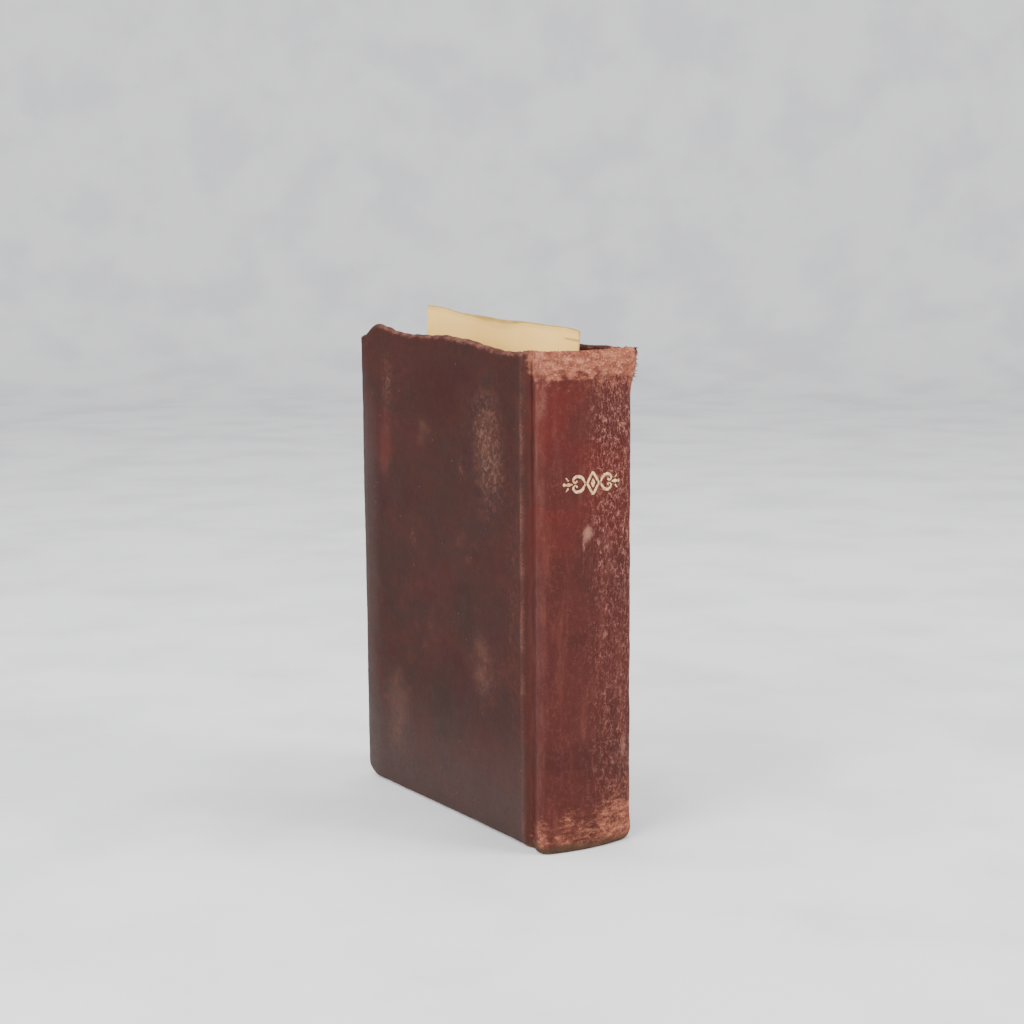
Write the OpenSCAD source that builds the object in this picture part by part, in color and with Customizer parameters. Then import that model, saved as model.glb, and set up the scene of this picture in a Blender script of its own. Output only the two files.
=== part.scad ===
// Pocket prayer book, full leather, sewn on three tapes, with a folded card between its pages.
// +Z runs up the spine, the spine faces -Y, the front cover is at +X and the back cover at -X.
// The origin is the bottom centre of the closed book. All sizes are in millimetres.

/* [Overall size] */
// Height of the spine leather
spine_height = 125; // [120:0.5:130]
// Height of the two covers
cover_height = 126.5; // [122:0.5:132]
// Length from the back of the spine to the fore-edge of the covers
book_depth = 93; // [90:0.5:96]
// Thickness over both covers
book_thickness = 27.2; // [26.8:0.1:29]

/* [Covers] */
// Thickness of the leather on the covers
cover_leather_t = 1; // [0.8:0.05:1]
// Thickness of each board
board_t = 1.2; // [1:0.05:1.2]
// Thickness of the leather turned over the inside of a board
turn_in_t = 0.35; // [0.3:0.05:0.35]
// Width of the leather turned over the inside of a board
turn_in_w = 9; // [7:0.5:12]
// Thickness of the pastedown and of each flyleaf
endpaper_t = 0.15; // [0.12:0.01:0.16]
// Radius of the cover's lower fore-edge corner
lower_corner_r = 5; // [3:0.5:7]
// Radius of the cover's upper fore-edge corner
upper_corner_r = 3; // [2:0.5:6]

/* [Spine] */
// Thickness of the spine leather
spine_leather_t = 1.2; // [1:0.05:1.2]
// How far the spine's middle stands behind its two shoulders
spine_crown = 1.3; // [1:0.1:1.6]
// Radius of the spine's shoulders
shoulder_r = 2.7; // [2.4:0.1:3]
// Thickness of the leather that flexes in each groove
groove_leather_t = 0.7; // [0.5:0.05:0.7]
// Depth of each groove below the cover's face
groove_depth = 1; // [0.8:0.05:1]

/* [Text block] */
// Signatures on each side of the card
signatures_per_side = 10; // [8:1:12]
// Length of a page from its fold to the fore-edge
page_depth = 86.2; // [80:0.2:86.4]
// Height of a page
page_height = 118.8; // [114:0.2:118.8]
// Radius of the arc that the folds lie on
fold_arc_r = 30; // [28:0.5:34]
// Gap in the middle of the text block, where the card stands
card_gap = 0.7; // [0.6:0.05:0.8]
// Angle that the outermost signature turns through when its cover is wide open
fan_angle = 42; // [40:1:52]

/* [Sewing] */
// Number of tapes
tape_count = 3; // [2:1:4]
// Width of a tape
tape_w = 8; // [5:0.5:9]
// Diameter of the sewing thread
thread_d = 0.3; // [0.2:0.05:0.3]
// Diameter of the head band and the tail band
band_d = 1.5; // [1:0.1:1.5]

/* [Card] */
// Width of the folded card
card_w = 72; // [60:1:73]
// Height of the folded card
card_h = 129; // [122:0.5:130]
// Thickness of the folded card
card_t = 0.4; // [0.2:0.05:0.4]
// Angle that the card leans at
card_tilt = 2.87; // [1:0.1:3]

/* [Hidden] */
$fn = 48;
eps = 0.01;
half_t = book_thickness / 2;
spine_back = -book_depth / 2;
fore_edge = book_depth / 2;

// Layers of a cover, as distances from the book's middle plane
board_out = half_t - cover_leather_t;
board_in = board_out - board_t;
turn_in_face = board_in - turn_in_t;
pastedown_face = turn_in_face - endpaper_t;
flyleaf_gap = 0.13;
flyleaf_out = pastedown_face - flyleaf_gap;
block_gap = 0.07;
block_face = flyleaf_out - endpaper_t - block_gap;

// Cover outline: the leather wraps each edge of the board
cover_start = -35.6;
edge_wrap = 1.1;
spine_edge_wrap = 0.6;
ridge_bevel = 0.45;
pastedown_border = 3.5;

// Groove between a cover and the spine
groove_start = -41.4;
groove_face = half_t - groove_depth;
groove_clear = 0.5;

// Spine arc, tangent to both shoulders
arc_end_inset = 2.6;
arc_half_chord = half_t - arc_end_inset;
spine_r = (pow(arc_half_chord, 2) + pow(spine_crown, 2)) / (2 * spine_crown);
spine_cy = spine_back + spine_r;
shoulder_cx = half_t - shoulder_r;
shoulder_cy = spine_cy - sqrt(pow(spine_r - shoulder_r, 2) - pow(shoulder_cx, 2));
shoulder_angle = atan2(shoulder_cy - spine_cy, shoulder_cx);
shoulder_run = 0.7;
shoulder_end = groove_start - shoulder_run;
headcap_t = 1;
headcap_overlap = 0.6;
headcap_end_inset = 0.4;

// Text block
pitch = (block_face - card_gap / 2) / signatures_per_side;
signature_gap = 0.03;
signature_t = pitch - signature_gap;
tail_square = 3;
fold_inset = 3.1;
fold_mid = spine_back + fold_inset;
flyleaf_set_back = 1;
fold_cy = fold_mid + fold_arc_r;
fan_step = fan_angle / signatures_per_side;
signature_count = 2 * signatures_per_side;

// Layers behind the folds, as radii about the centre of the fold arc
tape_gap = 0.3;
tape_r = fold_arc_r + tape_gap;
tape_t = 0.32;
thread_r = tape_r + tape_t + thread_d / 2 + eps;
stitch_overrun = 0.5;
mull_gap = 0.02;
mull_r = thread_r + thread_d / 2 + mull_gap;
mull_t = 0.15;
hollow_gap = 0.03;
hollow_r = mull_r + mull_t + hollow_gap;
hollow_t = 0.25;
lining_half_w = 10.6;
tape_end_margin = 16;
kettle_margin = 9;
kettle_len = 0.75;
mull_margin = 10;
band_gap = 0.2;
band_r = fold_arc_r + band_gap;
band_end_inset = 0.6;

// Spine ornament
ornament_x = 0;
ornament_z = 92.5;
ornament_t = 0.05;
ornament_span = 17.4;
lozenge_h = 5.6;
lozenge_w = 3.6;
lozenge_hole = 0.6;
small_lozenge = 0.55;
small_lozenge_x = 3.5;
bar_x = 6;
bar_l = 2.4;
bar_w = 0.5;
dot_d = 1.2;

// Card
card_lift = 0.6;
card_corner_y = -34.04;
card_wave = 0.25;

function two_digits(k) = str(k < 10 ? "0" : "", k);
function signature_name(k) = str("signature_", two_digits(k));
function tape_name(k) = str("sewing_tape_", k);

// ---- Helpers -------------------------------------------------------------------------------

function reversed(p) = [for (i = [len(p) - 1 : -1 : 0]) p[i]];

// Points on an arc, from angle a0 to angle a1
function arc(cx, cy, r, a0, a1, steps) =
    [for (i = [0 : steps]) let (a = a0 + (a1 - a0) * i / steps) [cx + r * cos(a), cy + r * sin(a)]];

// Distance of signature k from the middle of the book, counted in signatures
function rank(k) = k <= signatures_per_side ? signatures_per_side + 1 - k : k - signatures_per_side;
function side(k) = k <= signatures_per_side ? 1 : -1;

// Place of a fold on the fold arc, on the +X side
function fold_x(n) = card_gap / 2 + pitch * (n - 0.5);
function fold_y(x) = fold_cy - sqrt(pow(fold_arc_r, 2) - pow(x, 2));

// The spine's surface in plan, moved inwards by d, from shoulder to shoulder
function spine_curve(d) = concat(
    arc(-shoulder_cx, shoulder_cy, shoulder_r - d, -180, -180 - shoulder_angle, 8),
    arc(0, spine_cy, spine_r - d, -180 - shoulder_angle, shoulder_angle, 28),
    arc(shoulder_cx, shoulder_cy, shoulder_r - d, shoulder_angle, 0, 8)
);

// A cover's outline in the Y-Z plane, inset by d, with two rounded fore-edge corners
function cover_outline(start, d) = concat(
    [[start, d]],
    arc(fore_edge - lower_corner_r, lower_corner_r, lower_corner_r - d, -90, 0, 10),
    arc(fore_edge - upper_corner_r, cover_height - upper_corner_r, upper_corner_r - d, 0, 90, 8),
    [[start, cover_height - d]]
);

// Stands a Y-Z outline up as a sheet between two distances from the middle plane
module sheet(x0, x1) {
    translate([x0, 0, 0]) rotate([90, 0, 90]) linear_extrude(x1 - x0) children();
}

// A band that follows the fold arc, between two radii
module fold_band(r0, r1, z0, z1) {
    a = asin(lining_half_w / r1);
    translate([0, 0, z0]) linear_extrude(z1 - z0)
        polygon(concat(arc(0, fold_cy, r1, -90 - a, -90 + a, 24), arc(0, fold_cy, r0, -90 + a, -90 - a, 24)));
}

module on_side(s) {
    mirror([s > 0 ? 0 : 1, 0, 0]) children();
}

// ---- Spine ---------------------------------------------------------------------------------

// The leather runs from the edge of one groove round to the other, with its ends pared thinner
module spine_leather() {
    edge_outer = [[groove_face, groove_start]];
    edge_inner = [[groove_face - groove_leather_t, groove_start], [groove_face - groove_leather_t, shoulder_end]];
    other_outer = [for (p = concat([[half_t, shoulder_end]], edge_outer)) [-p[0], p[1]]];
    other_inner = [for (p = edge_inner) [-p[0], p[1]]];
    color("#7c3a33") {
        linear_extrude(spine_height)
            polygon(concat(
                reversed(other_outer), spine_curve(0), [[half_t, shoulder_end]], edge_outer,
                edge_inner, reversed(spine_curve(spine_leather_t)), reversed(other_inner)
            ));
        headcap(0);
        headcap(spine_height - headcap_t);
    }
}

// Leather turned in over the head band or the tail band
module headcap(z) {
    r = fold_arc_r - headcap_overlap;
    a = asin((lining_half_w - headcap_end_inset) / r);
    translate([0, 0, z]) linear_extrude(headcap_t)
        polygon(concat(
            [for (p = spine_curve(spine_leather_t / 2)) if (abs(p[0]) < lining_half_w) p],
            arc(0, fold_cy, r, -90 + a, -90 - a, 24)
        ));
}

// Gilt tooling: a large lozenge between two small ones, with a bar and a dot at each end
module spine_ornament() {
    color("#c9a662") intersection() {
        linear_extrude(spine_height)
            polygon(concat(spine_curve(-ornament_t), reversed(spine_curve(0))));
        translate([ornament_x, 0, ornament_z]) rotate([90, 0, 0]) linear_extrude(book_depth)
            ornament_outline();
    }
}

module lozenge(x, w, h) {
    translate([x, 0]) polygon([[-w / 2, 0], [0, -h / 2], [w / 2, 0], [0, h / 2]]);
}

module ornament_outline() {
    difference() {
        lozenge(0, lozenge_w, lozenge_h);
        lozenge(0, lozenge_w * lozenge_hole, lozenge_h * lozenge_hole);
    }
    for (s = [-1, 1]) {
        lozenge(s * small_lozenge_x, lozenge_w * small_lozenge, lozenge_h * small_lozenge);
        translate([s * bar_x, 0]) square([bar_l, bar_w], center = true);
        translate([s * (ornament_span - dot_d) / 2, 0]) circle(d = dot_d, $fn = 24);
    }
}

// Flattened paper tube between the text block and the spine leather
module spine_hollow() {
    color("#b59b74") translate([0, 0, mull_margin]) linear_extrude(spine_height - 2 * mull_margin)
        difference() {
            hollow_section(spine_leather_t + eps, hollow_r, lining_half_w);
            hollow_section(spine_leather_t + hollow_t, hollow_r + hollow_t, lining_half_w - hollow_t);
        }
}

module hollow_section(d, r, w) {
    a = asin(w / r);
    polygon(concat(
        arc(0, spine_cy, spine_r - d, -90 - asin(w / (spine_r - d)), -90 + asin(w / (spine_r - d)), 24),
        arc(0, fold_cy, r, -90 + a, -90 - a, 24)
    ));
}

// Coarse cloth glued over the sewing
module spine_mull() {
    color("#cdbfa0")
        fold_band(mull_r, mull_r + mull_t, tail_square + mull_margin, tail_square + page_height - mull_margin);
}

// ---- Sewing --------------------------------------------------------------------------------

function tape_z(k) =
    tail_square + tape_end_margin
    + (page_height - 2 * tape_end_margin - tape_w) * (k - 1) / (tape_count - 1);

module sewing_tape(k) {
    color("#d8cbb0") fold_band(tape_r, tape_r + tape_t, tape_z(k), tape_z(k) + tape_w);
}

// One stitch over each tape at every fold, and a row of kettle stitches near the head and the tail
module sewing_thread() {
    kettle_z = [tail_square + kettle_margin, tail_square + page_height - kettle_margin];
    color("#e4dcc8") for (s = [-1, 1], n = [1 : signatures_per_side]) {
        a = -90 + s * asin(fold_x(n) / fold_arc_r);
        translate([thread_r * cos(a), fold_cy + thread_r * sin(a), 0]) rotate([0, 0, a]) {
            for (k = [1 : tape_count])
                translate([0, 0, tape_z(k) - stitch_overrun])
                    cylinder(h = tape_w + 2 * stitch_overrun, d = thread_d, $fn = 16);
            for (z = kettle_z)
                translate([0, kettle_len / 2, z]) rotate([90, 0, 0])
                    cylinder(h = kettle_len, d = thread_d, $fn = 16);
        }
    }
}

// Wound core that finishes the head or the tail of the text block
module end_band(z) {
    a = asin((lining_half_w - band_end_inset) / band_r);
    translate([0, fold_cy, z]) rotate([0, 0, -90 - a])
        rotate_extrude(angle = 2 * a, $fn = 96) translate([band_r, 0]) circle(d = band_d, $fn = 24);
}

module head_band() {
    color("#b98a58") end_band(tail_square + page_height + band_gap + band_d / 2);
}

module tail_band() {
    color("#b98a58") end_band(tail_square - band_gap - band_d / 2);
}

// ---- Covers --------------------------------------------------------------------------------

// Leather over the board's outer face and round its four edges, turned in on three of them
module cover_leather(s) {
    window_top = cover_height - turn_in_w;
    color("#5a3a34") on_side(s) difference() {
        sheet(turn_in_face, half_t) polygon(cover_outline(cover_start, 0));
        sheet(board_in, board_out) polygon(cover_outline(cover_start + spine_edge_wrap, edge_wrap));
        sheet(turn_in_face - eps, board_in + eps) polygon([
            [cover_start + spine_edge_wrap, turn_in_w], [fore_edge - turn_in_w, turn_in_w],
            [fore_edge - turn_in_w, window_top], [cover_start + spine_edge_wrap, window_top]
        ]);
        ridge_cut();
    }
}

// Bevel along the ridge beside the groove
module ridge_cut() {
    translate([0, 0, -eps]) linear_extrude(cover_height + 2 * eps) polygon([
        [half_t - ridge_bevel, cover_start - eps], [half_t + eps, cover_start - eps],
        [half_t + eps, cover_start + ridge_bevel]
    ]);
}

module board(s) {
    color("#a08a66") on_side(s)
        sheet(board_in, board_out) polygon(cover_outline(cover_start + spine_edge_wrap, edge_wrap));
}

// The strip of leather that bends when a cover opens
module joint_leather(s) {
    color("#6a3a33") on_side(s) translate([groove_face - groove_leather_t, groove_start, groove_clear])
        cube([groove_leather_t, cover_start - groove_start, spine_height - 2 * groove_clear]);
}

// Endpaper pasted inside a cover, over the turned-in leather
module pastedown(s) {
    y0 = cover_start + spine_edge_wrap;
    y1 = fore_edge - pastedown_border;
    color("#cdb98f") on_side(s) translate([pastedown_face, y0, pastedown_border])
        cube([endpaper_t, y1 - y0, cover_height - 2 * pastedown_border]);
}

// Loose half of the endpaper, tipped to the outermost signature near its fold
module flyleaf(s) {
    y0 = fold_y(fold_x(signatures_per_side)) + flyleaf_set_back;
    color("#d6c49c") on_side(s) translate([flyleaf_out - endpaper_t, y0, tail_square])
        cube([endpaper_t, page_depth - flyleaf_set_back, page_height]);
}

// ---- Pages ---------------------------------------------------------------------------------

// One folded and sewn gathering. It narrows towards its fold by as much as its neighbours close in
// when the book fans open.
module signature(k) {
    n = rank(k);
    x = fold_x(n);
    y = fold_y(x);
    turn = fan_step * n;
    slope = x / sqrt(pow(fold_arc_r, 2) - pow(x, 2));
    fold_t = (cos(turn) - slope * sin(turn)) * signature_t - signature_gap;
    taper = (signature_t - fold_t) / (fan_step * PI / 180);
    color("#d9c9a3") on_side(side(k)) translate([x, y, tail_square]) linear_extrude(page_height) polygon([
        [-fold_t / 2, 0], [fold_t / 2, 0], [signature_t / 2, taper], [signature_t / 2, page_depth],
        [-signature_t / 2, page_depth], [-signature_t / 2, taper]
    ]);
}

// Folded paper card that stands between the two middle signatures, its upper edge slightly wavy
module paper_card() {
    color("#dcc9a6") translate([0, card_corner_y, card_lift]) rotate([card_tilt, 0, 0])
        sheet(-card_t / 2, card_t / 2) polygon(concat(
            [[0, 0], [card_w, 0]],
            [for (i = [0 : 12]) let (u = 1 - i / 12) [card_w * u, card_h + card_wave * sin(u * 540)]]
        ));
}

spine_leather();
spine_ornament();
spine_hollow();
spine_mull();
for (k = [1 : tape_count]) sewing_tape(k);
sewing_thread();
head_band();
tail_band();
cover_leather(1);  // front_cover_leather
board(1);  // front_board
joint_leather(1);  // front_joint_leather
pastedown(1);  // front_pastedown
flyleaf(1);  // front_flyleaf
cover_leather(-1);  // back_cover_leather
board(-1);  // back_board
joint_leather(-1);  // back_joint_leather
pastedown(-1);  // back_pastedown
flyleaf(-1);  // back_flyleaf
paper_card();
for (k = [1 : signature_count]) signature(k);
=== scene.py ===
"""Looks of the pocket prayer book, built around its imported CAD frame.

Lengths in this file are millimetres, in the frame's own axes: +Z up the spine, the spine faces -Y,
the front cover is at +X and the back cover at -X. put() turns them into metres.
"""
import math
import random

import bpy
import numpy as np
from mathutils import Matrix, Vector, noise


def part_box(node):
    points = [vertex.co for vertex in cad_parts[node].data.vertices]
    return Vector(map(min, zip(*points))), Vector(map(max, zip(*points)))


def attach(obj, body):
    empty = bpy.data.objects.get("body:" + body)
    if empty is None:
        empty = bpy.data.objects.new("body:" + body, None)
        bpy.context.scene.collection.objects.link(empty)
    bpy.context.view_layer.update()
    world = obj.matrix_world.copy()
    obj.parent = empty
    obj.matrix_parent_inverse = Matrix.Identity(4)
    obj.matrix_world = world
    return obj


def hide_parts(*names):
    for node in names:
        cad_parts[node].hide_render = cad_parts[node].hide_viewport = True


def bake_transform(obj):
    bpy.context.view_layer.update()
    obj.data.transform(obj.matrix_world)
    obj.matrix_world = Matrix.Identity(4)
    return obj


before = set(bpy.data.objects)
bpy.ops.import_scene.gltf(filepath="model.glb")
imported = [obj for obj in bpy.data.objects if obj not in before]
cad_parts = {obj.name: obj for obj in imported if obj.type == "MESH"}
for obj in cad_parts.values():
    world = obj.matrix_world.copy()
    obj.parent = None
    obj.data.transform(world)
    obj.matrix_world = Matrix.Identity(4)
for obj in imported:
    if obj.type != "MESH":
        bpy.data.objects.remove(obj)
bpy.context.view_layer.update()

MM = 0.001


# ---- Sizes, all taken from the frame ----

def box_mm(node):
    low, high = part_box(node)
    return np.array(low) / MM, np.array(high) / MM


spine_low, spine_high = box_mm("spine_leather")
cover_low, cover_high = box_mm("front_cover_leather")
PAGE_TOP = box_mm("signature_10")[1][2]
CARD_TOP = box_mm("paper_card")[1][2]
HALF_T = spine_high[0]
SPINE_BACK = spine_low[1]
SPINE_H = spine_high[2]
COVER_H = cover_high[2]
FORE_EDGE = cover_high[1]
COVER_START = cover_low[1]
COVER_IN = cover_low[0]
SIDE_WORDS = {1: "front", -1: "back"}

# The spine's arc and shoulders, as in the CAD model
CROWN = 1.3
ARC_HALF_CHORD = HALF_T - 2.6
SHOULDER_R = 2.7
SPINE_R = (ARC_HALF_CHORD ** 2 + CROWN ** 2) / (2 * CROWN)
SPINE_CY = SPINE_BACK + SPINE_R
SHOULDER_X = HALF_T - SHOULDER_R
SHOULDER_Y = SPINE_CY - math.sqrt((SPINE_R - SHOULDER_R) ** 2 - SHOULDER_X ** 2)


# ---- Small helpers ----

def smooth(a, b, v):
    """0 at a, 1 at b and an even S-curve between them. a may be the larger of the two."""
    t = np.clip((np.asarray(v, float) - a) / (b - a), 0, 1)
    return t * t * (3 - 2 * t)


def bump(v, centre, width):
    """A bell curve, 1 at its centre."""
    return np.exp(-((np.asarray(v, float) - centre) / width) ** 2)


def noise_at(points, size, octaves, offset=0.0, upright=1.0):
    """Fractal noise, about -1 to 1, at each point.

    size is the width of its largest features, and an upright below 1 draws them out in height."""
    flat = (points * np.array([1, 1, upright])).reshape(-1, 3) / size + offset
    values = [noise.fractal(Vector(p), 0.9, 2.1, octaves) for p in flat]
    return np.array(values).reshape(points.shape[:-1])


def add(name, data):
    """Puts a new object with the given data into the scene."""
    obj = bpy.data.objects.new(name, data)
    bpy.context.scene.collection.objects.link(obj)
    return obj


def put(name, vertices, faces, material, attributes=None, smooth_faces=True):
    """Makes a mesh object from millimetres. Each attribute becomes a value at every vertex."""
    vertices = np.asarray(vertices, float).reshape(-1, 3)
    mesh = bpy.data.meshes.new(name)
    mesh.from_pydata((vertices * MM).tolist(), [], [tuple(int(i) for i in f) for f in faces])
    store(mesh, "rest", vertices)
    for key, values in (attributes or {}).items():
        store(mesh, key, values)
    mesh.materials.append(material)
    mesh.polygons.foreach_set("use_smooth", [smooth_faces] * len(mesh.polygons))
    mesh.update()
    return add(name, mesh)


def store(mesh, key, values):
    """Stores a number or a place at every vertex, for the materials to read."""
    values = np.asarray(values, np.float32)
    kind, field = ("FLOAT_VECTOR", "vector") if values.ndim == 2 else ("FLOAT", "value")
    mesh.attributes.new(key, kind, "POINT").data.foreach_set(field, values.ravel())


def thicken(obj, thickness, offset=-1.0):
    """Gives a sheet its thickness: on the inner side, or half on each side when offset is 0."""
    solid = obj.modifiers.new("thickness", "SOLIDIFY")
    solid.thickness = thickness * MM
    solid.offset = offset
    thick = bpy.data.meshes.new_from_object(obj.evaluated_get(bpy.context.evaluated_depsgraph_get()))
    obj.modifiers.clear()
    obj.data = thick
    return obj


def grid_faces(rows, columns, start=0, flip=False, closed=False):
    """Four-sided faces between the neighbours of a grid of vertices. In a closed one each row is a loop."""
    index = start + np.arange(rows * columns).reshape(rows, columns)
    if closed:
        index = np.hstack([index, index[:, :1]])
    quads = np.stack([index[:-1, :-1], index[:-1, 1:], index[1:, 1:], index[1:, :-1]], -1).reshape(-1, 4)
    return quads[:, ::-1] if flip else quads


# ---- Materials ----

class Shader:
    """A Principled material and short ways to wire nodes into it.

    Made pieces carry their resting place as "rest". CAD pieces don't, so theirs is the object's own.
    """

    def __init__(self, name, roughness=0.6, specular=0.5, sheen=0.0, on_cad=False):
        self.material = bpy.data.materials.new(name)
        self.material.use_nodes = True
        self.tree = self.material.node_tree
        self.surface = self.tree.nodes["Principled BSDF"]
        self.feed(self.surface, {"Roughness": roughness, "Specular IOR Level": specular,
                                 "Sheen Weight": sheen})
        if on_cad:
            metres = self.node("TexCoord").outputs["Object"]
            self.rest = self.node("VectorMath", {0: metres, "Scale": 1 / MM}, operation="SCALE").outputs[0]
        else:
            self.rest = self.attribute("rest", "Vector")

    def feed(self, node, inputs):
        """Wires each input to its socket, or sets it to its value."""
        for key, value in inputs.items():
            if isinstance(value, bpy.types.NodeSocket):
                self.tree.links.new(value, node.inputs[key])
            else:
                node.inputs[key].default_value = value

    def node(self, kind, inputs=None, **settings):
        made = self.tree.nodes.new("ShaderNode" + kind)
        for key, value in settings.items():
            setattr(made, key, value)
        self.feed(made, inputs or {})
        return made

    def attribute(self, name, output="Fac"):
        return self.node("Attribute", attribute_name=name).outputs[output]

    def place(self, stretch):
        """The resting place of each point, stretched along the axes."""
        return self.node("VectorMath", {0: self.rest, 1: stretch}, operation="MULTIPLY").outputs[0]

    def noise(self, size, detail, roughness=0.55, stretch=(1, 1, 1), distortion=0.0):
        inputs = {"Vector": self.place(stretch), "Scale": 1 / size, "Detail": detail,
                  "Roughness": roughness, "Distortion": distortion}
        return self.node("TexNoise", inputs).outputs["Fac"]

    def cells(self, size, randomness=1.0):
        """Distance to the nearest of many scattered points, size millimetres apart."""
        inputs = {"Vector": self.rest, "Scale": 1 / size, "Randomness": randomness}
        return self.node("TexVoronoi", inputs, feature="F1").outputs["Distance"]

    def math(self, operation, a, b, c=0.0):
        return self.node("Math", {0: a, 1: b, 2: c}, operation=operation).outputs[0]

    def times(self, product, *factors):
        for factor in factors:
            product = self.math("MULTIPLY", product, factor)
        return product

    def ramp(self, value, low, high, to_low=0.0, to_high=1.0):
        """An S-curve from to_low at low to to_high at high."""
        inputs = {"Value": value, "From Min": low, "From Max": high, "To Min": to_low, "To Max": to_high}
        return self.node("MapRange", inputs, interpolation_type="SMOOTHSTEP").outputs["Result"]

    def mix(self, amount, a, b):
        """Colour a where amount is 0 and b where it is 1. Each is a socket or #rrggbb."""
        a, b = (colour(c) if isinstance(c, str) else c for c in (a, b))
        # The colours have sockets 6 and 7, and the mixed colour is output 2
        mixer = self.node("Mix", {"Factor": amount, 6: a, 7: b}, data_type="RGBA", blend_type="MIX")
        return mixer.outputs[2]

    def layers(self, base, *coats):
        """Lays coats of (amount, colour) over a base, one after the other."""
        for amount, tone in coats:
            base = self.mix(amount, base, tone)
        return base

    def patchy(self, name, texture, amount):
        """A stored value broken up by a texture, so that its patches have ragged edges."""
        value = self.attribute(name)
        ragged = self.math("ADD", value, self.math("MULTIPLY_ADD", texture, 1.5, -0.75))
        return self.times(self.ramp(ragged, 0.1, 0.95), self.ramp(value, 0.02, 0.3), amount)

    def bump(self, height, distance, strength, normal=None):
        """The surface's direction over a relief that is distance millimetres high."""
        inputs = {"Height": height, "Distance": distance * MM, "Strength": strength}
        if normal is not None:
            inputs["Normal"] = normal
        return self.node("Bump", inputs).outputs["Normal"]

    def finish(self, base, normal=None, roughness=None):
        """Wires the surface up and gives back the material."""
        inputs = {"Base Color": base, "Normal": normal, "Roughness": roughness}
        self.feed(self.surface, {key: value for key, value in inputs.items() if value is not None})
        return self.material


def colour(text):
    """A linear colour from its usual #rrggbb form."""
    parts = [int(text[i:i + 2], 16) / 255 for i in (1, 3, 5)]
    return tuple(c / 12.92 if c <= 0.04045 else ((c + 0.055) / 1.055) ** 2.4 for c in parts) + (1.0,)


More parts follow.
